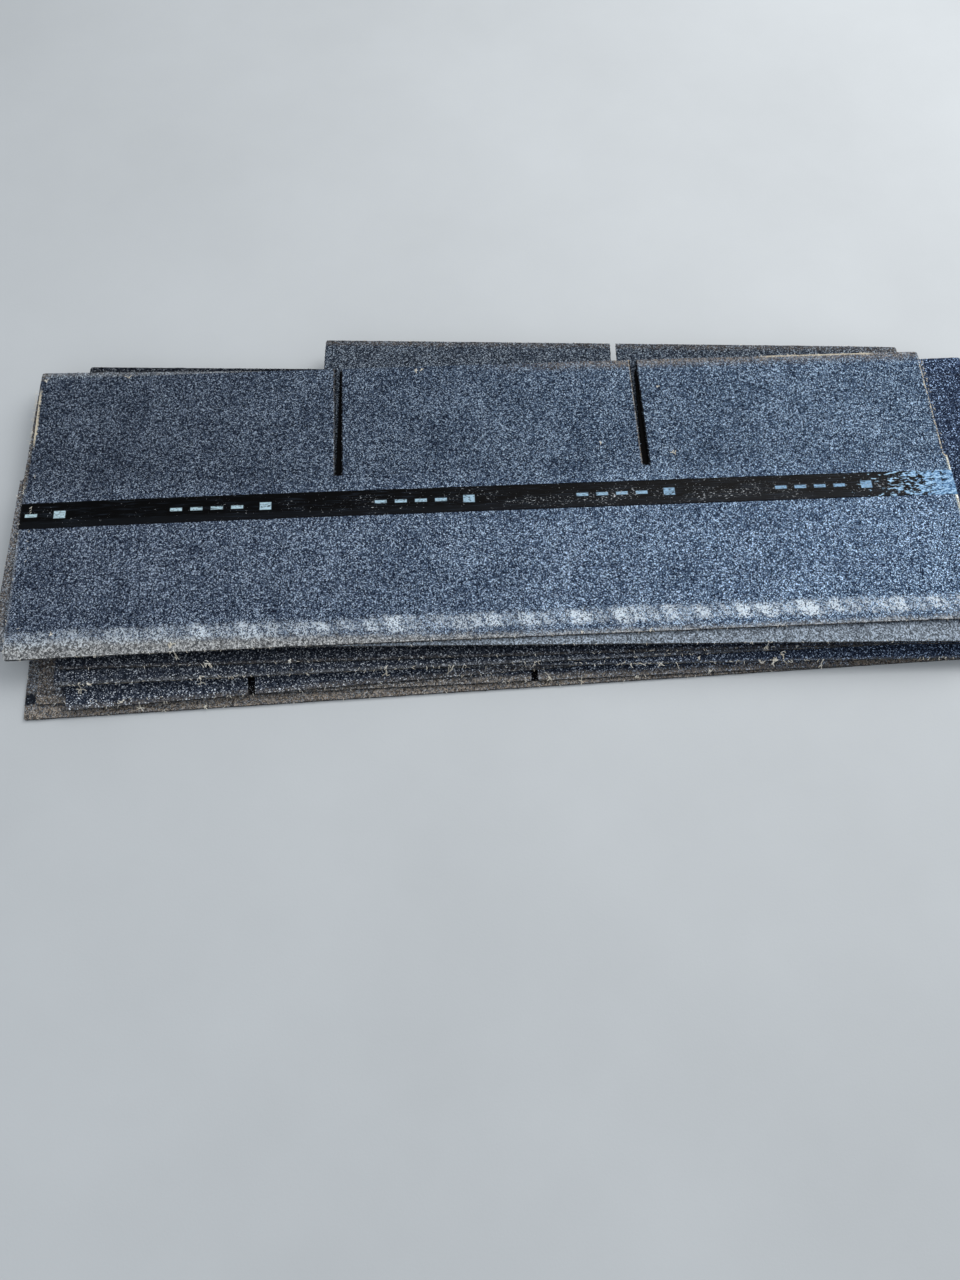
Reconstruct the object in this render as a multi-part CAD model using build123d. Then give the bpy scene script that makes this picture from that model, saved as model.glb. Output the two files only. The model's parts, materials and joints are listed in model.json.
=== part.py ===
from build123d import *
import math
import os

# A loose stack of three-tab asphalt shingles, some whole and some trimmed, lying on a level floor.
# X runs along the shingles, Y away from the front of the stack and Z up, in millimetres.

# One shingle: three tabs parted by two cutouts, with half a cutout at each end
LENGTH = 914.4
WIDTH = 304.8
THICKNESS = 2.8
TABS = 3
CUTOUT_WIDTH = 6.35
CUTOUT_DEPTH = 127.0
CORNER_WEAR = 3.0

# Plastic release film that runs along the sanded back
FILM_WIDTH = 28.0
FILM_THICKNESS = 0.25
FILM_FROM_TAB_EDGE = 144.2

# How the shingles bed on each other
GRANULE_GAP = 0.3       # air that the granules keep between two faces
END_RUN = 400.0         # length in which a shingle comes down past the end of a shorter one
FRONT_RUN = 26.0        # width in which the top ones bend down past the front edge under them

TAB = LENGTH / TABS
PITCH = THICKNESS + GRANULE_GAP

# From the floor up: name, front left corner, turn in degrees, length trimmed off the left end
# and the side that the tabs point to. The corners are measured from that of the top shingle.
LAID = [
    ("shingle_01", 14.5, -49.2, 1.3, 0.0, "back"),
    ("shingle_02", 25.0, -36.0, 0.3, 150.0, "front"),
    ("shingle_03", 53.7, -44.0, 2.7, 136.0, "front"),
    ("shingle_04", 68.0, -16.8, 1.6, 0.0, "back"),
    ("shingle_05", 50.0, -11.7, -1.4, 0.0, "back"),
    ("shingle_06", 44.0, -23.2, 0.45, 0.0, "back"),
    ("shingle_07", 47.0, -7.9, -0.75, 0.0, "back"),
    ("shingle_08", 31.0, 19.7, -2.75, 0.0, "back"),
    ("shingle_09", 275.8, 42.2, -2.9, TAB + CUTOUT_WIDTH / 2, "back"),
    ("shingle_10", -12.5, 11.0, -2.07, 0.0, "back"),
    ("shingle_11", 0.0, 0.0, 0.0, 0.0, "back"),
]
EDGE_BENT_OVER = 7      # place in the list of the shingle whose front edge the top two bend over
FIRST_BENT = 9          # place in the list of the lower of those two

# Stations along the stack at which the bent faces are drawn, and their reach past a shingle
MARGIN = 80.0
STATION_STEP = 90.0
STATIONS = math.ceil((LENGTH + 2 * MARGIN) / STATION_STEP) + 1


# Share of a height that is still held at a distance past the edge that holds it
def held(distance, run):
    share = min(max(distance / run, 0.0), 1.0)
    return 1.0 - share * share * (3.0 - 2.0 * share)


# Height of the bed under one shingle, to which each one below adds its pitch where it reaches
def bed_height(level, x):
    height = 0.0
    for name, left, front, turn, trimmed, tabs in LAID[:level]:
        right = left + (LENGTH - trimmed) * math.cos(math.radians(turn))
        height += PITCH * held(max(left - x, x - right), END_RUN)
    return height


def station_places():
    return [station * STATION_STEP - MARGIN for station in range(STATIONS)]


# Slab bent along the stack only, wider than any shingle
def bent_slab(level, rise, thickness):
    low = [(x, bed_height(level, x) + rise) for x in station_places()]
    high = [(x, z + thickness) for x, z in low]
    section = Spline(*low) + Line(low[-1], high[-1]) + Spline(*high) + Line(high[0], low[0])
    return extrude(make_face(Plane.XZ * section), 2 * WIDTH, both=True)


# Section across the stack at one station, bent down past the front edge of a shingle under it
def draped_section(level, x, rise, thickness):
    name, left, front, turn, trimmed, tabs = LAID[EDGE_BENT_OVER]
    edge = front + (x - left) * math.tan(math.radians(turn))
    held_up = bed_height(level, x) + rise
    fallen = held_up - PITCH
    back = Line((2 * WIDTH, held_up), (edge, held_up))
    bend = Spline((edge, held_up), (edge - FRONT_RUN, fallen), tangents=[(-1, 0), (-1, 0)])
    lip = Line((edge - FRONT_RUN, fallen), (-WIDTH, fallen))
    underside = back + bend + lip
    ends = [Line(place, place + Vector(0, thickness)) for place in (back @ 0, lip @ 1)]
    outline = underside + ends + Pos(0, thickness) * underside
    return make_face(Plane.YZ.offset(x) * outline)


def draped_slab(level, rise, thickness):
    return loft([draped_section(level, x, rise, thickness) for x in station_places()])


# Plan of a shingle from its front left corner, with the cutouts that its trimming leaves
def shingle_plan(trimmed, tabs):
    length = LENGTH - trimmed
    tab_edge = WIDTH if tabs == "back" else 0.0
    cutout = SlotCenterToCenter(2 * CUTOUT_DEPTH - CUTOUT_WIDTH, CUTOUT_WIDTH, rotation=90)
    plan = Rectangle(length, WIDTH, align=(Align.MIN, Align.MIN))
    for number in range(TABS + 1):
        x = number * TAB - trimmed
        if x > -CUTOUT_WIDTH / 2:
            plan -= Pos(x, tab_edge) * cutout
    front_and_back = [plan.vertices().group_by(Axis.Y)[side].sort_by(Axis.X) for side in (0, -1)]
    corners = [edge[end] for edge in front_and_back for end in (0, -1)]
    return fillet(corners, CORNER_WEAR)


# What a plan leaves of the slab that lies at its level
def cut_from_slab(level, plan, rise, thickness):
    name, left, front, turn, trimmed, tabs = LAID[level]
    slab = draped_slab if level >= FIRST_BENT else bent_slab
    reach = PITCH * len(LAID)
    prism = extrude(Location((left, front, -reach), (0, 0, turn)) * plan, 3 * reach)
    return slab(level, rise, thickness) & prism


def shingle(level):
    name, left, front, turn, trimmed, tabs = LAID[level]
    plan = shingle_plan(trimmed, tabs)
    if level == 0:
        return extrude(Location((left, front, 0), (0, 0, turn)) * plan, THICKNESS)
    return cut_from_slab(level, plan, 0.0, THICKNESS)


# The film lies on the back of the top shingle from end to end
def release_film():
    strip = Rectangle(LENGTH, FILM_WIDTH, align=(Align.MIN, Align.MAX))
    plan = Pos(0, WIDTH - FILM_FROM_TAB_EDGE) * strip
    return cut_from_slab(len(LAID) - 1, plan, THICKNESS, FILM_THICKNESS)


pieces = {laid[0]: shingle(level) for level, laid in enumerate(LAID)}
pieces["release_film"] = release_film()

# The origin is on the floor, under the middle of the whole stack
box = Compound(children=[Compound(piece.solids()) for piece in pieces.values()]).bounding_box()
to_origin = Pos(-box.center().X, -box.center().Y, -box.min.Z)

os.makedirs("parts", exist_ok=True)
for name, piece in pieces.items():
    placed = to_origin * piece
    placed.label = name
    export_step(placed, f"parts/{name}.step")
    print(name, "solids", len(placed.solids()), "box", placed.bounding_box())
print("origin sits at", box.center().X, box.center().Y, "from the top shingle's corner")
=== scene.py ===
import bpy, bmesh, json, math, random
from mathutils import Matrix, Vector, noise
from mathutils.bvhtree import BVHTree

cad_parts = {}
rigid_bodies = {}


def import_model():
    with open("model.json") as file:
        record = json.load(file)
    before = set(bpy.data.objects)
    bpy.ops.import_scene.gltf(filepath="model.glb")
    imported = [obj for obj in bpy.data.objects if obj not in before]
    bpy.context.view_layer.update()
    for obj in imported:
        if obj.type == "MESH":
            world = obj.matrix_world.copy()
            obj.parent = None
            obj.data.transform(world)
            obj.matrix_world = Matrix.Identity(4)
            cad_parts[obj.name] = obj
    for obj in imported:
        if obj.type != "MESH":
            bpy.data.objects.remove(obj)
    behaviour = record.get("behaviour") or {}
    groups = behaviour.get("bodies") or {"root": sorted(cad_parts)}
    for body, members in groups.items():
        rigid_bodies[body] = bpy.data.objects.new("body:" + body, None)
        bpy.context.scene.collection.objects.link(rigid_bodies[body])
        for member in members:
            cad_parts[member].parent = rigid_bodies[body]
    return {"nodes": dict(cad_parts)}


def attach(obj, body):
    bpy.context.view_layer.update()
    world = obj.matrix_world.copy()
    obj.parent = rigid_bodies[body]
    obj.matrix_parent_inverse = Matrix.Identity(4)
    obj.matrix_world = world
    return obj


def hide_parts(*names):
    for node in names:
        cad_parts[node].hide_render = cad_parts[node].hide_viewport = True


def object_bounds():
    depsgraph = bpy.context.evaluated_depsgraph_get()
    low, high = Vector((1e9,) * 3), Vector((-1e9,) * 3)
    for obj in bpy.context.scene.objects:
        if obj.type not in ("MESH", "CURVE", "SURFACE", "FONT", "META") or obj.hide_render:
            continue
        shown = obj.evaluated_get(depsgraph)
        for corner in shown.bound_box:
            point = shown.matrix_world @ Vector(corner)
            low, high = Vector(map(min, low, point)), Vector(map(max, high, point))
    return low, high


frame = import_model()
cadBox = [list(corner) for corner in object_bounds()]
cadNodes = frame["nodes"]
scene = bpy.context.scene
mm = 0.001
above = 0.1  # height from which rays look down on the stack, in metres
down = Vector((0, 0, -1))
print("frame loaded,", len(cadNodes), "nodes")

# Where the shingles lie, as in the part's source, in millimetres
stack = {
    "corner": (-484.783, -148.665),  # the top shingle's front left corner
    "length": 914.4,
    "width": 304.8,
    "thickness": 2.8,
    "tab": 304.8,
    "cutoutWidth": 6.35,
    "cutoutDepth": 127.0,
    # front left corner, turn in degrees, trimmed off the left end, side that the tabs point to and side up
    "laid": {
        "shingle_01": (14.5, -49.2, 1.3, 0.0, "back", "sand"),
        "shingle_02": (25.0, -36.0, 0.3, 150.0, "front", "granules"),
        "shingle_03": (53.7, -44.0, 2.7, 136.0, "front", "granules"),
        "shingle_04": (68.0, -16.8, 1.6, 0.0, "back", "granules"),
        "shingle_05": (50.0, -11.7, -1.4, 0.0, "back", "granules"),
        "shingle_06": (44.0, -23.2, 0.45, 0.0, "back", "granules"),
        "shingle_07": (47.0, -7.9, -0.75, 0.0, "back", "granules"),
        "shingle_08": (31.0, 19.7, -2.75, 0.0, "back", "granules"),
        "shingle_09": (275.8, 42.2, -2.9, 307.975, "back", "sand"),
        "shingle_10": (-12.5, 11.0, -2.07, 0.0, "back", "sand"),
        "shingle_11": (0.0, 0.0, 0.0, 0.0, "back", "sand"),
    },
    "draped": ("shingle_10", "shingle_11"),  # bent down over the front edge under them
}


def sheetPlace(name):
    left, front, turn = stack["laid"][name][:3]
    corner = Vector((stack["corner"][0] + left, stack["corner"][1] + front, 0)) * mm
    return Matrix.Translation(corner) @ Matrix.Rotation(math.radians(turn), 4, "Z")


def sheetLength(name):
    return stack["length"] - stack["laid"][name][3]


def onStack(x, y):
    return Vector((stack["corner"][0] + x, stack["corner"][1] + y, 0)) * mm


def meshFrom(bm, name):
    mesh = bpy.data.meshes.new(name)
    bm.to_mesh(mesh)
    bm.free()
    return mesh


# the same, with corners and faces in one order at every run, which extrusion doesn't keep
def sortedMesh(bm, name):
    verts = sorted(bm.verts, key=lambda vert: vert.co[:])
    number = {vert: n for n, vert in enumerate(verts)}
    faces = []
    for face in bm.faces:
        corners = [number[vert] for vert in face.verts]
        first = corners.index(min(corners))
        faces.append(corners[first:] + corners[:first])
    mesh = bpy.data.meshes.new(name)
    mesh.from_pydata([vert.co for vert in verts], [], sorted(faces))
    for key, layer in bm.verts.layers.float.items():
        mesh.attributes.new(key, "FLOAT", "POINT").data.foreach_set("value", [vert[layer] for vert in verts])
    bm.free()
    return mesh


def inScene(name, data):
    piece = bpy.data.objects.new(name, data)
    scene.collection.objects.link(piece)
    return piece


# mesh of what an object's modifiers or curves make
def realMesh(holder, name, material):
    mesh = bpy.data.meshes.new_from_object(holder.evaluated_get(bpy.context.evaluated_depsgraph_get()))
    bpy.data.objects.remove(holder)
    mesh.name = name
    mesh.materials.clear()
    mesh.materials.append(material)
    return mesh


# Camera at the photograph's angle
camera = {"at": (-0.0871, -0.4933, 0.8852), "turned": (22.013, -1.208, -3.076), "lens": 28.125}

eye = inScene("viewCamera", bpy.data.cameras.new("viewCamera"))
eye.location = camera["at"]
eye.rotation_euler = [math.radians(angle) for angle in camera["turned"]]
eye.data.lens = camera["lens"]
eye.data.clip_start = 0.01
eye.data.clip_end = 100
scene.camera = eye


# Helpers for the node trees
def put(tree, kind, inputs=None, **settings):
    node = tree.nodes.new(kind)
    for key, value in settings.items():
        setattr(node, key, value)
    for key, value in (inputs or {}).items():
        if isinstance(value, bpy.types.NodeSocket):
            tree.links.new(value, node.inputs[key])
        else:
            node.inputs[key].default_value = value
    return node


# the same in the tree of the values, of which one at least is a socket
def join(values, kind, inputs, **settings):
    tree = next(value.id_data for value in values if isinstance(value, bpy.types.NodeSocket))
    return put(tree, kind, inputs, **settings)


def sums(operation, first, second=0.0, clamp=False):
    inputs = {0: first, 1: second}
    return join((first, second), "ShaderNodeMath", inputs, operation=operation, use_clamp=clamp).outputs[0]


def plus(first, second):
    return sums("ADD", first, second)


def minus(first, second):
    return sums("SUBTRACT", first, second)


def times(first, second, clamp=False):
    return sums("MULTIPLY", first, second, clamp)


def unsigned(value):
    return sums("ABSOLUTE", value)


# swing of a noise about its middle, made as wide as reach
def swing(noisy, reach):
    return times(minus(noisy, 0.5), reach)


# 0 below low and 1 above high, or the other way round
def fade(value, low, high):
    inputs = {"Value": value, "From Min": low, "From Max": high}
    return join([value], "ShaderNodeMapRange", inputs, interpolation_type="SMOOTHSTEP").outputs[0]


def fadeMm(value, low, high):
    return fade(value, low * mm, high * mm)


def mixed(share, first, second, blend="MIX"):
    values = [share] + [(*colour, 1) if isinstance(colour, tuple) else colour for colour in (first, second)]
    inputs = dict(zip((0, 6, 7), values))
    return join(values, "ShaderNodeMix", inputs, data_type="RGBA", blend_type=blend).outputs[2]


def tinted(colour, tint):
    return mixed(1.0, colour, tint, "MULTIPLY")


def ramp(value, stops):
    node = join([value], "ShaderNodeValToRGB", {"Fac": value})
    band = node.color_ramp
    while len(band.elements) < len(stops):
        band.elements.new(1.0)
    for element, (position, colour) in zip(band.elements, stops):
        element.position = position
        element.color = (*colour, 1.0)
    return node.outputs["Color"]


def speckle(where, scale, detail=2.0, rough=0.6):
    inputs = {"Vector": where, "Scale": scale, "Detail": detail, "Roughness": rough}
    return join([where], "ShaderNodeTexNoise", inputs).outputs["Fac"]


def newTree(name):
    material = bpy.data.materials.new(name)
    material.use_nodes = True
    material.node_tree.nodes.clear()
    return material, material.node_tree


def finishTree(tree, colour, rough, gloss=0.5, bump=None):
    inputs = {"Base Color": colour, "Roughness": rough, "Specular IOR Level": gloss}
    if bump:
        inputs["Normal"] = put(tree, "ShaderNodeBump", bump).outputs[0]
    shader = put(tree, "ShaderNodeBsdfPrincipled", inputs)
    put(tree, "ShaderNodeOutputMaterial", {"Surface": shader.outputs[0]})


def objectPlace(tree):
    return put(tree, "ShaderNodeTexCoord").outputs["Object"]


# a value that the mesh carries at each point
def ownValue(tree, name):
    return put(tree, "ShaderNodeAttribute", attribute_name=name, attribute_type="GEOMETRY").outputs["Fac"]


# Floor, world and lamps
studio = {
    "floorTone": (0.60, 0.635, 0.665),
    "floorSize": 6,
    "floorRough": 0.75,
    "world": (0.93, 0.965, 1.0),
    "worldStrength": 0.46,
    "lamps": {
        "keyLamp": {"at": (0.95, 0.85, 1.5), "aim": (0.0, 0.0, 0.0), "size": 1.5, "power": 25,
                    "tone": (1.0, 0.985, 0.96)},
        "fillLamp": {"at": (-0.9, -1.1, 1.6), "aim": (0.0, -0.05, 0.0), "size": 1.8, "power": 6,
                     "tone": (0.95, 0.975, 1.0)},
    },
}


def makeStudio():
    bm = bmesh.new()
    bmesh.ops.create_grid(bm, x_segments=4, y_segments=4, size=studio["floorSize"])
    floor = inScene("studioFloor", meshFrom(bm, "studioFloor"))
    material, tree = newTree("paleFloor")
    where = objectPlace(tree)
    cloud = speckle(where, 3.0, 5)
    tone = studio["floorTone"]
    colour = ramp(cloud, [(0.3, tuple(c * 0.95 for c in tone)), (0.7, tuple(c * 1.04 for c in tone))])
    grit = {"Height": speckle(where, 420.0), "Strength": 0.08, "Distance": 1 * mm}
    finishTree(tree, colour, studio["floorRough"], bump=grit)
    floor.data.materials.append(material)

    scene.world = bpy.data.worlds.new("softRoom")
    scene.world.use_nodes = True
    background = scene.world.node_tree.nodes["Background"]
    background.inputs["Color"].default_value = (*studio["world"], 1)
    background.inputs["Strength"].default_value = studio["worldStrength"]
    for name, lamp in studio["lamps"].items():
        light = bpy.data.lights.new(name, "AREA")
        light.size, light.energy, light.color = lamp["size"], lamp["power"], lamp["tone"]
        holder = inScene(name, light)
        holder.location = lamp["at"]
        aim = Vector(lamp["aim"]) - Vector(lamp["at"])
        holder.rotation_euler = aim.to_track_quat("-Z", "Y").to_euler()
    scene.view_settings.view_transform = "Standard"


makeStudio()
print("camera and studio ready")

# The sheets: cut from a flat blank, laid to the solid's heights, with worn and slightly ragged edges
cutEdge = {
    "step": 3.2,  # spacing of the points along an edge
    "column": 30.0,  # and of the lines across a sheet
    "rim": 1.4,  # first line in from an edge
    "clear": 0.7,  # no line lies nearer to an edge
    "room": 4.6,  # length without lines at a cutout's round end
    "over": (0.0, 1.2, 2.3),  # lines over that end, out from its middle
    "beside": 1.3,  # and one beside it
    "wear": 0.45,  # width of the worn corner
    "cornerRadius": 3.0,
    "ragged": 0.22,  # how far the cut wanders
    "crumbled": 0.14,  # finer roughness on it
    "uneven": 0.06,  # how far its points stray up and down
}


def nodeSurface(name):
    mesh = cadNodes[name].data
    return BVHTree.FromPolygons([v.co for v in mesh.vertices], [p.vertices for p in mesh.polygons])


# height of the solid's top at a place, or beside it where an edge or a cutout is
def topHeight(surface, spot):
    for reach in (0.0, 1.6, 3.6, 6.0):
        for east, north in ((0, 0), (1, 0), (-1, 0), (0, 1), (0, -1), (1, 1), (-1, 1), (1, -1), (-1, -1)):
            start = Vector((spot.x + east * reach * mm, spot.y + north * reach * mm, above))
            hit = surface.ray_cast(start, down)
            if hit[0] is not None and hit[1].z > 0.5:
                return hit[0].z
    return 0.0


def fillRectangle(bm, length, width, along=1, across=1):
    bmesh.ops.create_grid(bm, x_segments=along, y_segments=across, size=0.5)
    bmesh.ops.translate(bm, verts=bm.verts, vec=(0.5, 0.5, 0))
    bmesh.ops.scale(bm, verts=bm.verts, vec=(length * mm, width * mm, 1))


def cutLines(bm, geom, axis, places):
    normal = Vector((1, 0, 0) if axis == "X" else (0, 1, 0))
    for at in places:
        geom = bmesh.ops.bisect_plane(bm, geom=geom, dist=0.004 * mm, plane_co=normal * at * mm,
                                      plane_no=normal)["geom"]


def allOf(bm):
    return list(bm.verts) + list(bm.edges) + list(bm.faces)


def sheetBlank(name):
    trimmed, tabs = stack["laid"][name][3:5]
    length, width, half = sheetLength(name), stack["width"], stack["cutoutWidth"] / 2
    step, column, rim, clear = [cutEdge[key] for key in ("step", "column", "rim", "clear")]
    cutouts = [n * stack["tab"] - trimmed for n in range(4) if n * stack["tab"] - trimmed > -half]
    roundEnd = width - stack["cutoutDepth"] + half if tabs == "back" else stack["cutoutDepth"] - half
    past = -1 if tabs == "back" else 1

    bm = bmesh.new()
    fillRectangle(bm, length, width)
    # lines along the sheet, but none where a cutout's round end needs room
    rowStep = step if name in stack["draped"] else 2 * step
    rows = [rim, width - rim, roundEnd] + [rowStep * n for n in range(1, int(width / rowStep) + 1)]
    rows = [y for y in rows if y == roundEnd or not (0 < (y - roundEnd) * past < cutEdge["room"])]
    cutLines(bm, allOf(bm), "Y", sorted(y for y in rows if clear < y < width - clear))
    # lines across it: close at the ends and the cutouts, wide apart between them
    columns = {rim, length - rim} | {column * n for n in range(1, int(length / column) + 1)}
    for at in cutouts:
        for off in (*cutEdge["over"], half, half + cutEdge["beside"]):
            columns |= {at - off, at + off}
    cutLines(bm, allOf(bm), "X", sorted(x for x in columns if 0.5 < x < length - 0.5))
    # and close together on the front and back rims
    outer = [f for f in bm.faces if not 2 * step < f.calc_center_median().y / mm < width - 2 * step]
    geom = [*dict.fromkeys(v for f in outer for v in f.verts),
            *dict.fromkeys(e for f in outer for e in f.edges), *outer]
    fine = [step * n for n in range(1, int(length / step) + 1)]
    fine = [x for x in fine if x < length - clear and all(abs(x - c) > 0.8 for c in columns)]
    cutLines(bm, geom, "X", fine)

    middles = [(f, f.calc_center_median() / mm) for f in bm.faces]
    gone = [f for f, middle in middles if (middle.y - roundEnd) * past < 0
            and any(abs(middle.x - at) < half for at in cutouts)]
    bmesh.ops.delete(bm, geom=gone, context="FACES")
    for vert in bm.verts:
        x, y = vert.co.x / mm, vert.co.y / mm
        for at in cutouts:
            if abs(y - roundEnd) < 0.01 and abs(x - at) < half - 0.01:
                vert.co.y = (roundEnd + past * math.sqrt(half * half - (x - at) ** 2)) * mm
    # worn corners
    radius = cutEdge["cornerRadius"]
    for cornerX, cornerY in ((0, 0), (length, 0), (0, width), (length, width)):
        inX = radius if cornerX == 0 else length - radius
        inY = radius if cornerY == 0 else width - radius
        if (cornerY > 0) == (tabs == "back"):
            inX += (half if cornerX == 0 and 0.0 in cutouts else 0) - (half if cornerX > 0 else 0)
        for vert in bm.verts:
            away = Vector((vert.co.x / mm - inX, vert.co.y / mm - inY))
            if away.x * (cornerX - inX) > 0 and away.y * (cornerY - inY) > 0 and away.length > radius:
                away = away.normalized() * radius
                vert.co.x, vert.co.y = (inX + away.x) * mm, (inY + away.y) * mm
    return bm


def makeSheet(name):
    surface = nodeSurface(name)
    thick = stack["thickness"] * mm
    bm = sheetBlank(name)
    bmesh.ops.transform(bm, matrix=sheetPlace(name), verts=bm.verts)
    for vert in bm.verts:
        vert.co.z = topHeight(surface, vert.co) - thick
    raised = bmesh.ops.extrude_face_region(bm, geom=list(bm.faces))["geom"]
    raised = [part for part in raised if isinstance(part, bmesh.types.BMVert)]
    bmesh.ops.translate(bm, verts=raised, vec=(0, 0, thick))
    bmesh.ops.recalc_face_normals(bm, faces=bm.faces)
    rims = [e for e in bm.edges if len(e.link_faces) == 2 and e.calc_face_angle(0) > 0.9
            and abs(e.verts[0].co.z - e.verts[1].co.z) < 0.5 * e.calc_length()]
    bmesh.ops.bevel(bm, geom=rims, offset=cutEdge["wear"] * mm, offset_type="OFFSET", affect="EDGES",
                    segments=2, profile=0.5, material=-1, clamp_overlap=True)
    upright = [e for e in bm.edges if abs(e.verts[0].co.z - e.verts[1].co.z) > 0.9 * e.calc_length()
               and e.calc_length() > 1.0 * mm]
    bmesh.ops.subdivide_edges(bm, edges=upright, cuts=1, use_grid_fill=True)
    bm.normal_update()

    across = bm.verts.layers.float.new("across")  # 0 at the underside and 1 on top
    seed = Vector((1.3, float(name[-2:]) * 3.1, 0))
    for vert in bm.verts:
        vert[across] = 1 - (topHeight(surface, vert.co) - vert.co.z) / thick
        flat = Vector((vert.normal.x, vert.normal.y, 0))
        if flat.length < 0.2 or all(abs(f.normal.z) > 0.97 for f in vert.link_faces):
            continue
        spot = vert.co + seed
        wander = noise.noise(spot * 90) * cutEdge["ragged"] + noise.noise(spot * 420) * cutEdge["crumbled"]
        vert.co += flat.normalized() * wander * mm
        vert.co.z += noise.noise(spot * 520) * cutEdge["uneven"] * mm
    bmesh.ops.triangulate(bm, faces=bm.faces)
    title = name.replace("shingle_", "sheet")
    sheet = inScene(title, sortedMesh(bm, title))
    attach(sheet, "root")
    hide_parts(name)
    return sheet


sheets = {name: makeSheet(name) for name in stack["laid"]}
print("sheets cut and laid,", sum(len(s.data.polygons) for s in sheets.values()), "faces")

# Finishes of the sheets
sandFinish = {
    "tones": [(0.006, 0.009, 0.018), (0.040, 0.055, 0.085), (0.13, 0.17, 0.235), (0.60, 0.71, 0.84)],
    "stops": [0.15, 0.5, 0.76, 0.97],  # where each tone lies among the grains, from 0 to 1
    "looseStops": [0.0, 0.35, 0.7, 1.0],  # and among the loose ones
    "grain": 1250.0,  # cells of about 0.8 mm
    "clump": (430.0, 0.9),  # scale and strength
    "cloud": (24.0, 0.32),  # the same, for lighter and darker areas
    "bump": 0.6,
}
granuleFinish = {
    "tones": [(0.004, 0.006, 0.010), (0.014, 0.020, 0.036), (0.080, 0.098, 0.135), (0.66, 0.72, 0.80)],
    "stops": [0.0, 0.55, 0.86, 0.99],
    "looseStops": [0.0, 0.52, 0.82, 0.98],
    "grain": 1050.0,  # cells of about 0.95 mm
    "right": {"from": 350.0, "to": 1000.0, "tint": (0.80, 1.02, 1.36)},  # bluer towards the right end, partly as painted light from the right
    "bump": 0.9,
}
# cut edges: black crumbly asphalt, with the pale mat torn out of it
edgeFinish = {
    "crumb": 700.0,
    "crumbTones": [(0.40, (0.004, 0.005, 0.007)), (0.54, (0.017, 0.019, 0.024)), (0.64, (0.08, 0.083, 0.09)),
                   (0.76, (0.34, 0.32, 0.28))],
    "mat": 0.7,  # its height in the sheet, from 0 to 1
    "matSharpness": 5.5,
    "tear": 150.0,
    "tears": (0.56, 0.66),  # from no mat to all of it
}
dustTones = {
    "tan": (0.36, 0.31, 0.245),
    "brown": (0.27, 0.225, 0.175),
    "grey": (0.36, 0.37, 0.375),
    "blueGrey": (0.30, 0.355, 0.425),
    "cream": (0.66, 0.60, 0.48),
    "blueWhite": (0.80, 0.90, 1.0),
}
surfaceFinish = {
    "patch": 34.0,  # scale at which dust wanders
    "dustGrain": 880.0,
    "dustClump": (380.0, 1.2),
    "rough": 0.86,
    "gloss": 0.1,
    "relief": 0.7,  # height of the bumps in mm
}

# dust on each sheet's upper side: border, reach in mm, strength and tone; then how pale its torn edges are,
# how light the whole sheet is, and how much lighter its granules are at the right end, partly as painted
# light
sheetLooks = {
    "shingle_01": {"dust": [("front", 16, 0.62, "brown"), ("left", 30, 0.3, "brown")],
                   "torn": 0.3, "tint": 0.9},
    "shingle_02": {"dust": [("front", 8, 0.42, "tan"), ("left", 26, 0.4, "brown")], "torn": 0.4, "tint": 1.3},
    "shingle_03": {"dust": [("front", 6, 0.2, "tan")], "torn": 0.5, "tint": 1.5},
    "shingle_04": {"dust": [("front", 4, 0.1, "tan")], "torn": 0.35, "tint": 1.35},
    "shingle_05": {"dust": [("front", 2.5, 0.15, "grey")], "torn": 1.0, "tint": 0.95},
    "shingle_06": {"dust": [("front", 4, 0.2, "grey")], "torn": 0.9, "tint": 0.95},
    "shingle_07": {"dust": [("front", 3, 0.1, "tan")], "torn": 0.6, "tint": 0.65},
    "shingle_08": {"dust": [], "torn": 0.3, "tint": 0.4, "rightLift": 2.9},
    "shingle_09": {"dust": [("back", 8, 0.2, "brown"), ("right", 10, 0.15, "brown")],
                   "torn": 0.5, "tint": 0.64},
    "shingle_10": {"dust": [("front", 24, 0.85, "blueGrey"), ("back", 6, 0.35, "grey"),
                            ("left", 12, 0.35, "brown")], "torn": 0.4, "tint": 0.9},
    "shingle_11": {"dust": [("left", 3, 0.35, "grey"), ("right", 3.0, 0.7, "cream")],
                   "torn": 1.0, "tint": 0.95},
}

# sheets seen through cutouts of the one above them, where shade is painted nearly black on them, and which of
# its cutouts
seenThrough = {
    "shingle_10": ("shingle_11", (1, 2)),
    "shingle_02": ("shingle_03", (1,)),
    "shingle_01": ("shingle_02", (2,)),
}
# painted shade in the cutouts: how dark it is on the top sheet's rims, on the sheet below and on the walls,
# and their half width and end in mm, from no shade to full shade
cutoutShade = {
    "rim": (0.003, 0.003, 0.004),
    "below": (0.001, 0.001, 0.0013),
    "walls": 0.1,
    "half": (4.8, 3.6),
    "end": 0.6,
}


# a value from 0 to 1 for every grain, and the distance from its middle
def cells(where, scale, channel=0):
    cell = join([where], "ShaderNodeTexVoronoi", {"Vector": where, "Scale": scale})
    colour = cell.outputs["Color"]
    split = join([colour], "ShaderNodeSeparateColor", {"Color": colour})
    return split.outputs[channel], cell.outputs["Distance"]


# a finish's tones at their places on a ramp
def tonesAt(finish, stops, tint=1.0):
    return [(at, tuple(c * tint for c in tone)) for at, tone in zip(finish[stops], finish["tones"])]


def sandColour(where, tint):
    value, distance = cells(where, sandFinish["grain"])
    for key, rough in (("clump", 0.7), ("cloud", 0.6)):
        scale, strength = sandFinish[key]
        value = plus(value, swing(speckle(where, scale, 3.0, rough), strength))
    return ramp(value, tonesAt(sandFinish, "stops", tint)), minus(value, distance)


# granules tinted bluer towards the right end, partly painted light from the right
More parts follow.
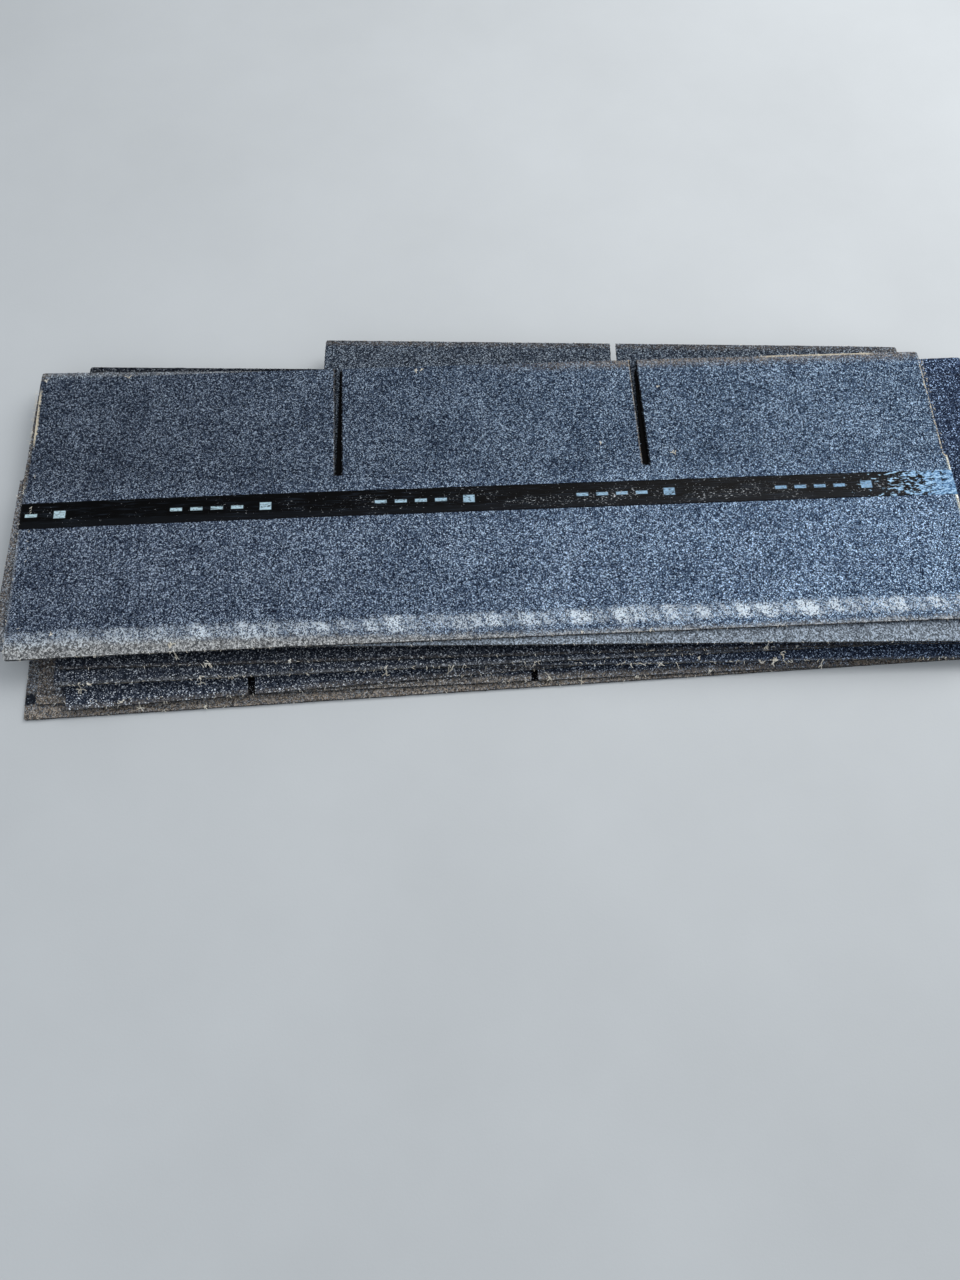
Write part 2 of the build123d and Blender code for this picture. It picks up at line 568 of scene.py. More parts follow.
def bluerRightWithPaintedLight(where, colour, lift=1.0):
    right = granuleFinish["right"]
    share = fadeMm(placeOn(where, "shingle_11")["X"], right["from"], right["to"])
    tint = mixed(share, (1, 1, 1), tuple(c * lift for c in right["tint"]))
    return tinted(colour, tint)


def granuleColour(where, tint, lift):
    value, distance = cells(where, granuleFinish["grain"])
    colour = ramp(value, tonesAt(granuleFinish, "stops", tint))
    return bluerRightWithPaintedLight(where, colour, lift), minus(1.0, distance)


def edgeColour(where, across, pale):
    dark = ramp(speckle(where, edgeFinish["crumb"], 3, 0.75), edgeFinish["crumbTones"])
    middle = times(minus(across, edgeFinish["mat"]), edgeFinish["matSharpness"])
    middle = minus(1.0, unsigned(middle))
    torn = plus(speckle(where, edgeFinish["tear"], 4, 0.7), times(middle, 0.08))
    share = times(fade(middle, 0.0, 0.7), fade(torn, *edgeFinish["tears"]))
    return mixed(times(share, pale), dark, dustTones["cream"])


# place on a sheet, from its own front left corner
def placeOn(where, name):
    turn = math.radians(stack["laid"][name][2])
    inputs = {"Vector": where, "Location": sheetPlace(name).translation, "Rotation": (0, 0, turn)}
    laid = join([where], "ShaderNodeMapping", inputs, vector_type="TEXTURE").outputs[0]
    return join([laid], "ShaderNodeSeparateXYZ", {"Vector": laid}).outputs


def borderDistance(name, border, local):
    if border in ("front", "left"):
        return local["Y" if border == "front" else "X"]
    if border == "back":
        return minus(stack["width"] * mm, local["Y"])
    return minus(sheetLength(name) * mm, local["X"])


# 1 under the cutouts of a sheet and 0 beside them
def underCutouts(where, name, numbers):
    trimmed, tabs = stack["laid"][name][3:5]
    local = placeOn(where, name)
    depth = borderDistance(name, tabs, local)
    low, high = [stack["cutoutDepth"] + side * cutoutShade["end"] for side in (1, -1)]
    inside = times(fadeMm(depth, low, high), fadeMm(depth, 0.0, 1.0))
    share = 0.0
    for number in numbers:
        off = unsigned(minus(local["X"], (number * stack["tab"] - trimmed) * mm))
        share = sums("MAXIMUM", share, fadeMm(off, *cutoutShade["half"]))
    return times(share, inside)


# what shows on the back of the top sheet, wear and dust with some painted light, in mm
topWearAndPaintedLight = {
    "dark": {"tabs": 0.72, "from": 150.0, "to": 185.0},  # the tabs are darker than the rest,
    "left": (0.80, 0.84, 0.94), "right": (1.27, 1.60, 1.90),  # and the sheet is lighter and bluer to the right, partly dust and partly painted light,
    "flecks": {"left": 0.9, "right": 1.5, "share": 0.5, "from": 0.12, "to": 0.5},  # all but its palest grains
    "wander": 12.0,  # how far dust and scuffs stray from their line
    # dusty bent lip: X and its depth, then how it fades and its strength
    "lip": [(0, 15), (120, 14), (200, 12), (300, 9), (440, 4.5), (914.4, 3.5)],
    "lipFade": (-5.0, 6.0), "lipWander": 10.0, "lipStrength": 0.9,
    # scuffs from another sheet's seal: X, half width and strength
    "scuffs": [(25, 12, 0.5), (62, 14, 0.42), (110, 16, 0.5), (140, 10, 0.55), (186, 11, 0.8), (200, 6, 0.6),
               (222, 9, 0.65), (245, 8, 0.5), (270, 8, 0.55), (288, 6, 0.7), (312, 8, 0.45), (335, 4, 0.7),
               (357, 7, 0.8), (374, 6, 0.45), (399, 7, 0.5), (416, 6, 0.62), (432, 6, 0.62), (447, 6, 0.8),
               (463, 5, 0.35), (479, 7, 0.7), (498, 6, 0.45), (513, 5, 0.35), (527, 8, 0.85), (547, 5, 0.45),
               (566, 7, 0.8), (583, 6, 0.7), (597, 4, 0.55), (615, 6, 0.7), (643, 6, 0.7), (666, 5, 0.5),
               (679, 7, 1.0), (703, 8, 0.85), (724, 6, 0.6), (743, 8, 0.95), (771, 6, 0.75), (788, 6, 0.55),
               (801, 6, 0.75), (818, 8, 0.6), (833, 5, 0.8), (851, 5, 0.45), (868, 6, 0.75), (890, 7, 0.5)],
    "scuffSpread": ((1.25, 0.45), (0.75, 1.0)),  # shares of the half width, and of the strength there
    "scuffMiddle": 17.5, "scuffFade": (11.0, 4.0), "scuffRagged": (190.0, 22.0), "slant": 0.45,
    # brown dust at the tab edge: its reach, and from and to along the edge
    "brown": {"reach": 14.0, "from": 420.0, "to": 620.0, "strength": 0.55},
    # cream mat that shows, with a painted sunlit fringe along the left end: border, from and to along it, and
    # its depth
    "torn": [("back", 748, 862, 2.0), ("left", 228, 290, 2.2), ("right", 10, 296, 1.2)],
    "tornFade": 7.0,
    # tan dust and a painted highlight on the left rims of the cutouts, which face the light: X, half width
    # and strength, then from where it starts
    "rims": [(605.4, 1.0, 0.5), (300.6, 0.9, 0.25)],
    "rimFrom": (176.0, 182.0),
}


# a curve over the length of the stack
def alongStack(x, stops):
    node = join([x], "ShaderNodeFloatCurve", {"Value": sums("DIVIDE", x, stack["length"] * mm)})
    curve = node.mapping.curves[0]
    stops = sorted(stops)
    curve.points[0].location = (0.0, stops[0][1])
    curve.points[1].location = (1.0, stops[-1][1])
    for at, value in stops:
        if 0 < at < stack["length"]:
            curve.points.new(at / stack["length"], value)
    node.mapping.update()
    return node.outputs[0]


def scuffStops():
    stops = []
    for at, half, strength in topWearAndPaintedLight["scuffs"]:
        for side in (-1, 1):
            stops += [(at + side * half * reach, strength * share) for reach, share in topWearAndPaintedLight["scuffSpread"]]
    cleared = []
    for stop in sorted(stops):
        if not cleared or stop[0] - cleared[-1][0] > 1.5:
            cleared.append(stop)
    return cleared


# tones of the top sheet over its length, lighter and bluer to the right partly as painted light, and its
# darker tabs
def weatheredWithPaintedLight(local, colour):
    across, flecks, dark = fade(local["X"], 0.0, 1.0), topWearAndPaintedLight["flecks"], topWearAndPaintedLight["dark"]
    tint = mixed(across, topWearAndPaintedLight["left"], topWearAndPaintedLight["right"])
    plain = mixed(across, (flecks["left"],) * 3, (flecks["right"],) * 3)
    light = join([colour], "ShaderNodeRGBToBW", {"Color": colour}).outputs[0]
    pale = fade(light, flecks["from"], flecks["to"])
    tint = mixed(times(pale, flecks["share"]), tint, plain)
    colour = tinted(colour, tint)
    share = fadeMm(local["Y"], dark["from"], dark["to"])
    return mixed(share, colour, tinted(colour, (dark["tabs"],) * 3))


def grainy(tone, grain):
    low, middle, high = [tuple(c * k for c in dustTones[tone]) for k in (0.2, 0.8, 2.1)]
    return ramp(grain, [(0.1, low), (0.55, middle), (0.95, high)])


def dustyLip(local, upper, patchy, grain):
    deepest = 40.0  # the curve runs from 0 to 1
    stops = [(x, depth / deepest) for x, depth in topWearAndPaintedLight["lip"]]
    depth = times(alongStack(local["X"], stops), deepest * mm)
    below = plus(minus(depth, local["Y"]), swing(patchy, topWearAndPaintedLight["lipWander"] * mm))
    share = fadeMm(below, *topWearAndPaintedLight["lipFade"])
    return mixed(times(share, topWearAndPaintedLight["lipStrength"]), upper, grainy("grey", grain))


# slanted patches in a row, broken up by the grain
def scuffed(where, local, upper, patchy, grain):
    scale, reach = topWearAndPaintedLight["scuffRagged"]
    offset = minus(local["Y"], topWearAndPaintedLight["scuffMiddle"] * mm)
    ragged = swing(speckle(where, scale, 3, 0.7), reach * mm)
    slanted = plus(local["X"], plus(times(offset, topWearAndPaintedLight["slant"]), ragged))
    strength = alongStack(slanted, scuffStops())
    offset = unsigned(plus(offset, times(ragged, 0.5)))
    offset = minus(offset, swing(patchy, topWearAndPaintedLight["wander"] * mm))
    share = times(strength, fadeMm(offset, *topWearAndPaintedLight["scuffFade"]))
    broken = fade(plus(grain, times(share, 0.5)), 0.64, 0.86)
    share = times(share, plus(times(broken, 1.1), 0.1), True)
    return mixed(share, upper, dustTones["blueWhite"])


def topSheetWearAndPaintedLight(where, local, upper, patchy, grain):
    upper = weatheredWithPaintedLight(local, upper)
    upper = dustyLip(local, upper, patchy, grain)
    upper = scuffed(where, local, upper, patchy, grain)

    brown = topWearAndPaintedLight["brown"]
    back = borderDistance("shingle_11", "back", local)
    back = plus(back, swing(patchy, topWearAndPaintedLight["wander"] * mm))
    share = fadeMm(local["X"], brown["from"], brown["to"])
    share = times(fadeMm(back, brown["reach"], 0.0), share)
    upper = mixed(times(share, brown["strength"]), upper, grainy("brown", grain))
    # tan dust and painted highlight on the left rims of the cutouts
    beside = fadeMm(local["Y"], *topWearAndPaintedLight["rimFrom"])
    for at, half, strength in topWearAndPaintedLight["rims"]:
        off = unsigned(minus(local["X"], at * mm))
        share = times(fadeMm(off, half + 0.6, half - 0.6), beside)
        upper = mixed(times(share, strength), upper, grainy("tan", grain))
    # cream mat along the edges; on the left end it is also a painted sunlit fringe
    for border, start, end, deep in topWearAndPaintedLight["torn"]:
        along = local["X" if border == "back" else "Y"]
        soft = topWearAndPaintedLight["tornFade"]
        line = times(fadeMm(along, start - soft, start + soft),
                     fadeMm(along, end + soft, end - soft))
        away = borderDistance("shingle_11", border, local)
        away = plus(away, times(grain, 2 * mm))
        if border != "back":  # half a cutout is gone from both ends of the tabs
            tabsFrom = stack["width"] - stack["cutoutDepth"]
            tabs = fadeMm(local["Y"], tabsFrom - 1.3, tabsFrom + 0.7)
            away = minus(away, times(tabs, stack["cutoutWidth"] / 2 * mm))
        away = plus(away, swing(patchy, 1.4 * deep * mm))
        share = fadeMm(away, deep + 1.2, deep)
        upper = mixed(times(line, share), upper, dustTones["cream"])
    return upper


# black patch of tar near the corner of the lowest sheet, in mm
tar = {"middle": (4.5, 19.5), "half": 4.5, "ragged": (260.0, 6.0), "fade": (1.2, -0.4),
       "tone": (0.012, 0.016, 0.024)}


def tarSmear(where, local, upper):
    scale, reach = tar["ragged"]
    ragged = swing(speckle(where, scale, 3), reach * mm)
    off = [unsigned(minus(local[axis], at * mm)) for axis, at in zip("XY", tar["middle"])]
    near = sums("MAXIMUM", *[minus(away, tar["half"] * mm) for away in off])
    share = fadeMm(plus(near, ragged), *tar["fade"])
    return mixed(share, upper, tar["tone"])


def sheetMaterial(name):
    look = sheetLooks[name]
    up = stack["laid"][name][5]
    material, tree = newTree(name.replace("shingle_", "asphaltSheet"))
    source = put(tree, "ShaderNodeTexCoord")
    where = source.outputs["Object"]
    local = placeOn(where, name)
    rise = put(tree, "ShaderNodeSeparateXYZ", {"Vector": source.outputs["Normal"]}).outputs["Z"]

    sand, sandHeight = sandColour(where, look["tint"])
    stone, stoneHeight = granuleColour(where, look["tint"], look.get("rightLift", 1.0))
    upper, lower = (sand, stone) if up == "sand" else (stone, sand)

    patchy = speckle(where, surfaceFinish["patch"], 4, 0.65)
    scale, strength = surfaceFinish["dustClump"]
    grain = cells(where, surfaceFinish["dustGrain"], 1)[0]
    grain = plus(grain, swing(speckle(where, scale, 2, 0.7), strength))
    for border, reach, strength, tone in look["dust"]:
        near = sums("DIVIDE", borderDistance(name, border, local), reach * mm)
        wandering = plus(near, swing(patchy, 1.3))
        share = times(fade(wandering, 1.15, 0.35), strength)
        upper = mixed(share, upper, grainy(tone, grain))
    if name == "shingle_11":
        upper = topSheetWearAndPaintedLight(where, local, upper, patchy, grain)
        # painted shade, nearly black, around the top sheet's own cutouts
        upper = mixed(underCutouts(where, name, (1, 2)), upper, cutoutShade["rim"])
    if name == "shingle_01":
        upper = tarSmear(where, local, upper)
    if name in seenThrough:
        # painted shade, nearly black, where this sheet shows through the cutouts above it
        upper = mixed(underCutouts(where, *seenThrough[name]), upper, cutoutShade["below"])

    edge = edgeColour(where, ownValue(tree, "across"), look["torn"])
    # painted shade on the cut edges inside the cutouts of the draped sheets
    if name in stack["draped"]:
        slots = underCutouts(where, name, (1, 2))
        edge = mixed(slots, edge, tinted(edge, (cutoutShade["walls"],) * 3))
    colour = mixed(fade(rise, 0.45, 0.75), edge, upper)
    colour = mixed(fade(rise, -0.45, -0.75), colour, lower)
    lowerHeight, upperHeight = (stoneHeight, sandHeight) if up == "sand" else (sandHeight, stoneHeight)
    inputs = {0: fade(rise, -0.2, 0.2), 2: lowerHeight, 3: upperHeight}
    height = put(tree, "ShaderNodeMix", inputs, data_type="FLOAT").outputs[0]
    strength = sandFinish["bump"] if up == "sand" else granuleFinish["bump"]
    bump = {"Height": height, "Strength": strength, "Distance": surfaceFinish["relief"] * mm}
    finishTree(tree, colour, surfaceFinish["rough"], surfaceFinish["gloss"], bump)
    return material


for name, sheet in sheets.items():
    sheet.data.materials.clear()
    sheet.data.materials.append(sheetMaterial(name))
print("sheets finished")

# Release film on the top sheet: puckered, streaked and scuffed, with painted glints, a plain generic print
# and a painted sky reflection at its right end
film = {
    "from": 132.6, "to": 160.6,  # across the sheet
    "thickness": 0.22,
    "faces": (420, 22),  # along it and across
    "pucker": 0.09,
    "frayed": 0.35,  # how far its long edges wander
    "pressed": 0.08,  # how far its edges lie lower
    "marks": {"first": 143.0, "period": 196.8, "dashes": 4, "dash": 11.5, "gap": 8.0, "height": 3.4,
              "block": 86.0, "blockWidth": 11.0, "blockHeight": 8.0, "middle": 147.0, "soft": 0.35},
    # noise drawn out along the film: long streaks, short flecks, wide smears and patches
    "drawn": {"streaks": (38, 1100, 1), "flecks": (330, 980, 1), "smears": (16, 52, 1),
              "patches": (130, 330, 1)},
    "black": (0.0008, 0.0009, 0.0012), "lowerBlack": (0.0045, 0.0055, 0.0075),
    "lowerFrom": (142.0, 138.5), "rubbedMiddle": ((137.5, 140.0), (150.0, 156.0)),
    "greyed": (0.022, 0.030, 0.044), "scratchesAndGlints": (0.60, 0.64, 0.69),
    "inkLeft": (0.50, 0.68, 0.76), "inkRight": (0.24, 0.42, 0.64),
    # painted sky reflection on the right end: where it starts and ends, and its dark and pale tones
    "skyReflectionFrom": 874.0, "skyReflectionTo": 880.0,
    "skyReflectionDark": (0.05, 0.16, 0.36), "skyReflectionPale": (0.48, 0.73, 0.97),
    "gloss": 0.06,
    "bump": 0.35,
    "relief": 0.4,
}


def makeFilm():
    surface = nodeSurface("release_film")
    bm = bmesh.new()
    fillRectangle(bm, stack["length"], film["to"] - film["from"], *film["faces"])
    bmesh.ops.translate(bm, verts=bm.verts, vec=onStack(0, film["from"]))
    for vert in bm.verts:
        streak = noise.noise(Vector((vert.co.x * 18, vert.co.y * 420, 2.0)))
        grit = noise.noise(vert.co * 520)
        vert.co.z = topHeight(surface, vert.co) + (streak * 0.7 + grit * 0.5) * film["pucker"] * mm
    for vert in [v for v in bm.verts if v.is_boundary]:
        vert.co.y += noise.noise(Vector((vert.co.x * 60, vert.co.y * 10, 7.0))) * film["frayed"] * mm
        vert.co.z -= film["pressed"] * mm
    bmesh.ops.recalc_face_normals(bm, faces=bm.faces)
    if sum(f.normal.z for f in bm.faces) < 0:
        bmesh.ops.reverse_faces(bm, faces=bm.faces)
    bmesh.ops.solidify(bm, geom=list(bm.faces), thickness=film["thickness"] * mm)
    strip = inScene("releaseFilm", sortedMesh(bm, "releaseFilm"))
    for polygon in strip.data.polygons:
        polygon.use_smooth = True
    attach(strip, "root")
    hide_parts("release_film")
    return strip


# 1 inside a bar of the print and 0 outside it
def bar(x, y, fromX, width, height):
    soft = film["marks"]["soft"] * mm
    inX = unsigned(minus(x, (fromX + width / 2) * mm))
    inY = unsigned(minus(y, film["marks"]["middle"] * mm))
    inside = sums("MINIMUM", minus(width / 2 * mm, inX), minus(height / 2 * mm, inY))
    return fade(inside, -soft, soft)


# 1 on the dashes and the block, which repeat along the film
def printedMarks(x, y):
    marks = film["marks"]
    start = minus(x, (marks["first"] - marks["period"]) * mm)
    repeat = sums("MODULO", start, marks["period"] * mm)
    printed = bar(repeat, y, marks["block"], marks["blockWidth"], marks["blockHeight"])
    for number in range(marks["dashes"]):
        dash = bar(repeat, y, number * (marks["dash"] + marks["gap"]), marks["dash"], marks["height"])
        printed = sums("MAXIMUM", printed, dash)
    return printed


# two noises blended by their shares
def blend(first, firstShare, second, secondShare):
    return plus(times(first, firstShare), times(second, secondShare))


def filmMaterial():
    material, tree = newTree("blackReleaseFilm")
    where = objectPlace(tree)
    local = placeOn(where, "shingle_11")
    x, y = local["X"], local["Y"]
    drawn = {}
    for kind, scale in film["drawn"].items():
        long = put(tree, "ShaderNodeMapping", {"Vector": where, "Scale": scale})
        drawn[kind] = speckle(long.outputs[0], 1.0, 3, 0.65)
    streaks, flecks, smears, patches = [drawn[kind] for kind in ("streaks", "flecks", "smears", "patches")]

    # more rubbed to the right and along the middle
    (front, inner), (back, outer) = film["rubbedMiddle"]
    middle = times(fadeMm(y, front, inner), fadeMm(y, outer, back))
    rubbing = blend(fade(x, 0.1, 0.7), 0.05, middle, 0.03)
    rubbing = plus(rubbing, swing(smears, 0.35))
    colour = mixed(fadeMm(y, *film["lowerFrom"]), film["black"], film["lowerBlack"])
    greyed = fade(plus(streaks, rubbing), 0.55, 0.70)
    colour = mixed(times(greyed, 0.5), colour, film["greyed"])
    # bright flecks: scratches, and painted glints on the glossy film
    scratchesAndGlints = fade(plus(flecks, rubbing), 0.71, 0.76)
    colour = mixed(scratchesAndGlints, colour, film["scratchesAndGlints"])

    worn = fade(blend(flecks, 0.6, streaks, 0.4), 0.60, 0.50)
    ink = mixed(fade(x, 0.0, 0.9), film["inkLeft"], film["inkRight"])
    colour = mixed(times(printedMarks(x, y), worn), colour, ink)

    # painted reflection of the bright sky on the right end, pale blue in patches
    end = plus(plus(x, swing(patches, 0.34)), swing(flecks, 0.12))
    shade = fade(blend(flecks, 0.6, patches, 0.4), 0.45, 0.60)
    blue = mixed(shade, film["skyReflectionDark"], film["skyReflectionPale"])
    colour = mixed(fadeMm(end, film["skyReflectionFrom"], film["skyReflectionTo"]), colour, blue)

    rough = ramp(flecks, [(0.35, (0.30, 0.30, 0.30)), (0.65, (0.55, 0.55, 0.55))])
    height = blend(flecks, 0.7, streaks, 0.5)
    bump = {"Height": height, "Strength": film["bump"], "Distance": film["relief"] * mm}
    finishTree(tree, colour, rough, film["gloss"], bump)
    return material


releaseFilm = makeFilm()
releaseFilm.data.materials.append(filmMaterial())
print("release film laid")

# Loose and standing grains: little octahedra on every open face and on the cut edges
grains = {
    "sand": {"count": 46000, "size": 0.85, "flat": 0.6},
    "granules": {"count": 24000, "size": 1.0, "flat": 0.8},
    "crumbs": {"count": 9000, "size": 0.95, "flat": 0.8, "shade": 0.5},
    "kinds": 4,
    "varied": {"Rotation": ((-0.5, -0.5, 0.0), (0.5, 0.5, 6.28)),
               "Scale": ((0.65, 0.65, 0.7), (1.25, 1.25, 1.2))},
    "uneven": 0.16,  # how far a grain's corners stray, as a share of its size
    "tries": 18,  # for each grain on an open face
    "edgeTries": 8,  # and on a cut edge
    "jump": 0.9,  # how far one lies from the middle of its face of the edge
    "climb": 0.35,  # share of that up or down
    "lowest": 0.6,  # no crumb lies lower over the floor
    "cutout": 5.0,  # none lies nearer to the middle line of a top sheet's cutout, under it
}


def stackSkin():
    corners, faces, owners = [], [], []
    for name, sheet in [*sheets.items(), ("film", releaseFilm)]:
        base = len(corners)
        corners += [v.co.copy() for v in sheet.data.vertices]
        faces += [[base + n for n in p.vertices] for p in sheet.data.polygons]
        owners += [name] * len(sheet.data.polygons)
    return BVHTree.FromPolygons(corners, faces), owners


skin, skinOwners = stackSkin()


def inCutout(place):
    x, y = (place.x / mm - stack["corner"][0]) % stack["tab"], place.y / mm - stack["corner"][1]
    return min(x, stack["tab"] - x) < grains["cutout"] and y > stack["width"] - stack["cutoutDepth"]


def openSpots(kind, seed):
    settings = grains[kind]
    chance = random.Random(seed)
    low, high = cadBox
    found = []
    for attempt in range(settings["count"] * grains["tries"]):
        start = Vector((chance.uniform(low[0], high[0]), chance.uniform(low[1], high[1]), above))
        place, normal, index, away = skin.ray_cast(start, down)
        owner = "film" if place is None else skinOwners[index]
        if owner == "film" or owner == "shingle_10" and inCutout(place):
            continue
        if normal.z > 0.85 and stack["laid"][owner][5] == kind:
            found.append((place, owner))
            if len(found) == settings["count"]:
                break
    return found


# places on the cut edges that the open air reaches
def edgeSpots(count, seed):
    chance = random.Random(seed)
    walls = []
    for name, sheet in sheets.items():
        for polygon in sheet.data.polygons:
            if abs(polygon.normal.z) < 0.6:
                walls.append((name, polygon.center.copy(), polygon.normal.copy(), polygon.area))
    weights = [wall[3] for wall in walls]
    found = []
    climb = grains["climb"]
    for name, centre, normal, area in chance.choices(walls, weights=weights, k=count * grains["edgeTries"]):
        jump = Vector((chance.uniform(-1, 1), chance.uniform(-1, 1), chance.uniform(-climb, climb)))
        jump *= grains["jump"] * mm
        place = centre + jump - normal * jump.dot(normal)
        outward = (normal + Vector((0, 0, 1.2))).normalized()
        covered = skin.ray_cast(place + normal * 0.25 * mm, outward, 30 * mm)[0] is not None
        if not covered and place.z > grains["lowest"] * mm:
            found.append((place, name))
            if len(found) == count:
                break
    return found


# 0 to 1: how dusty a grain is there
def dustAt(name, place):
    local = sheetPlace(name).inverted() @ Vector((place.x, place.y, 0)) / mm
    if name == "shingle_11":
        stops = topWearAndPaintedLight["lip"]
        for (x0, y0), (x1, y1) in zip(stops, stops[1:]):
            if x0 <= local.x <= x1:
                depth = y0 + (y1 - y0) * (local.x - x0) / (x1 - x0)
                if local.y < depth + 2 * noise.noise(place * 60):
                    return 1.0
    away = {"front": local.y, "left": local.x, "back": stack["width"] - local.y,
            "right": sheetLength(name) - local.x}
    dust = sheetLooks[name]["dust"]
    return max([strength for border, reach, strength, tone in dust if away[border] < reach * 0.8] + [0.0])


def grainShapes(kind, seed):
    settings = grains[kind]
    chance = random.Random(seed)
    shapes = bpy.data.collections.new(kind + "Shapes")
    for number in range(grains["kinds"]):
        bm = bmesh.new()
        bmesh.ops.create_uvsphere(bm, u_segments=4, v_segments=2, radius=settings["size"] / 2 * mm)
        for vert in bm.verts:
            stray = Vector([chance.uniform(-1, 1) for axis in range(3)])
            vert.co += stray * settings["size"] * grains["uneven"] * mm
        bmesh.ops.scale(bm, verts=bm.verts, vec=(1, 1, settings["flat"]))
        bmesh.ops.recalc_face_normals(bm, faces=bm.faces)
        shapes.objects.link(bpy.data.objects.new(kind + "Shape", meshFrom(bm, kind + "Shape")))
    return shapes


def scatterTree(kind, shapes, seed):
    tree = bpy.data.node_groups.new(kind + "Scatter", "GeometryNodeTree")
    tree.interface.new_socket("Geometry", in_out="INPUT", socket_type="NodeSocketGeometry")
    tree.interface.new_socket("Geometry", in_out="OUTPUT", socket_type="NodeSocketGeometry")
    source = put(tree, "NodeGroupInput")
    inputs = {"Collection": shapes, "Separate Children": True, "Reset Children": True}
    pick = put(tree, "GeometryNodeCollectionInfo", inputs)
    inputs = {"Points": source.outputs[0], "Instance": pick.outputs[0], "Pick Instance": True}
    for number, (key, (low, high)) in enumerate(grains["varied"].items()):
        span = {0: low, 1: high, "Seed": seed + number}
        inputs[key] = put(tree, "FunctionNodeRandomValue", span, data_type="FLOAT_VECTOR").outputs[0]
    laid = put(tree, "GeometryNodeInstanceOnPoints", inputs)
    real = put(tree, "GeometryNodeRealizeInstances", {"Geometry": laid.outputs[0]})
    put(tree, "NodeGroupOutput", {0: real.outputs[0]})
    return tree


def scatter(title, kind, spots, seed, material):
    chance = random.Random(seed)
    bm = bmesh.new()
    tone = bm.verts.layers.float.new("tone")
    dust = bm.verts.layers.float.new("dust")
    for place, name in spots:
        vert = bm.verts.new(place)
        vert[tone] = chance.random()
        vert[dust] = dustAt(name, place)
    holder = inScene(title + "Points", meshFrom(bm, title + "Points"))
    shapes = grainShapes(kind, seed)
    holder.modifiers.new("scatter", "NODES").node_group = scatterTree(kind, shapes, seed)
    piece = inScene(title, realMesh(holder, title, material))
    for shape in list(shapes.objects):
        bpy.data.objects.remove(shape)
    bpy.data.collections.remove(shapes)
    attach(piece, "root")
    print(title, len(piece.data.polygons), "faces")


def grainMaterial(kind):
    material, tree = newTree(kind + "Grains")
    where = objectPlace(tree)
    finish = sandFinish if kind == "sand" else granuleFinish
    tone = plus(ownValue(tree, "tone"), swing(speckle(where, 2400.0), 0.3))
    colour = ramp(tone, tonesAt(finish, "looseStops"))
    if kind == "sand":
        colour = weatheredWithPaintedLight(placeOn(where, "shingle_11"), colour)
    else:
        colour = bluerRightWithPaintedLight(where, colour)
    if kind == "crumb":
        colour = tinted(colour, (grains["crumbs"]["shade"],) * 3)
    low, high = [tuple(c * share for c in dustTones["grey"]) for share in (0.35, 1.5)]
    dusty = ramp(tone, [(0.0, low), (1.0, high)])
    colour = mixed(times(ownValue(tree, "dust"), 0.7), colour, dusty)
    finishTree(tree, colour, 0.75, 0.25)
    return material


sandMaterial, granuleMaterial, crumbMaterial = [grainMaterial(kind) for kind in ("sand", "granule", "crumb")]
sandSpots = openSpots("sand", 11)
middleX = (cadBox[0][0] + cadBox[1][0]) / 2
leftSpots = [spot for spot in sandSpots if spot[0].x < middleX]
rightSpots = [spot for spot in sandSpots if spot[0].x >= middleX]
scatter("sandLeft", "sand", leftSpots, 21, sandMaterial)
scatter("sandRight", "sand", rightSpots, 22, sandMaterial)
scatter("granulesLoose", "granules", openSpots("granules", 12), 23, granuleMaterial)
scatter("edgeCrumbs", "crumbs", edgeSpots(grains["crumbs"]["count"], 13), 24, crumbMaterial)
print("grains scattered")

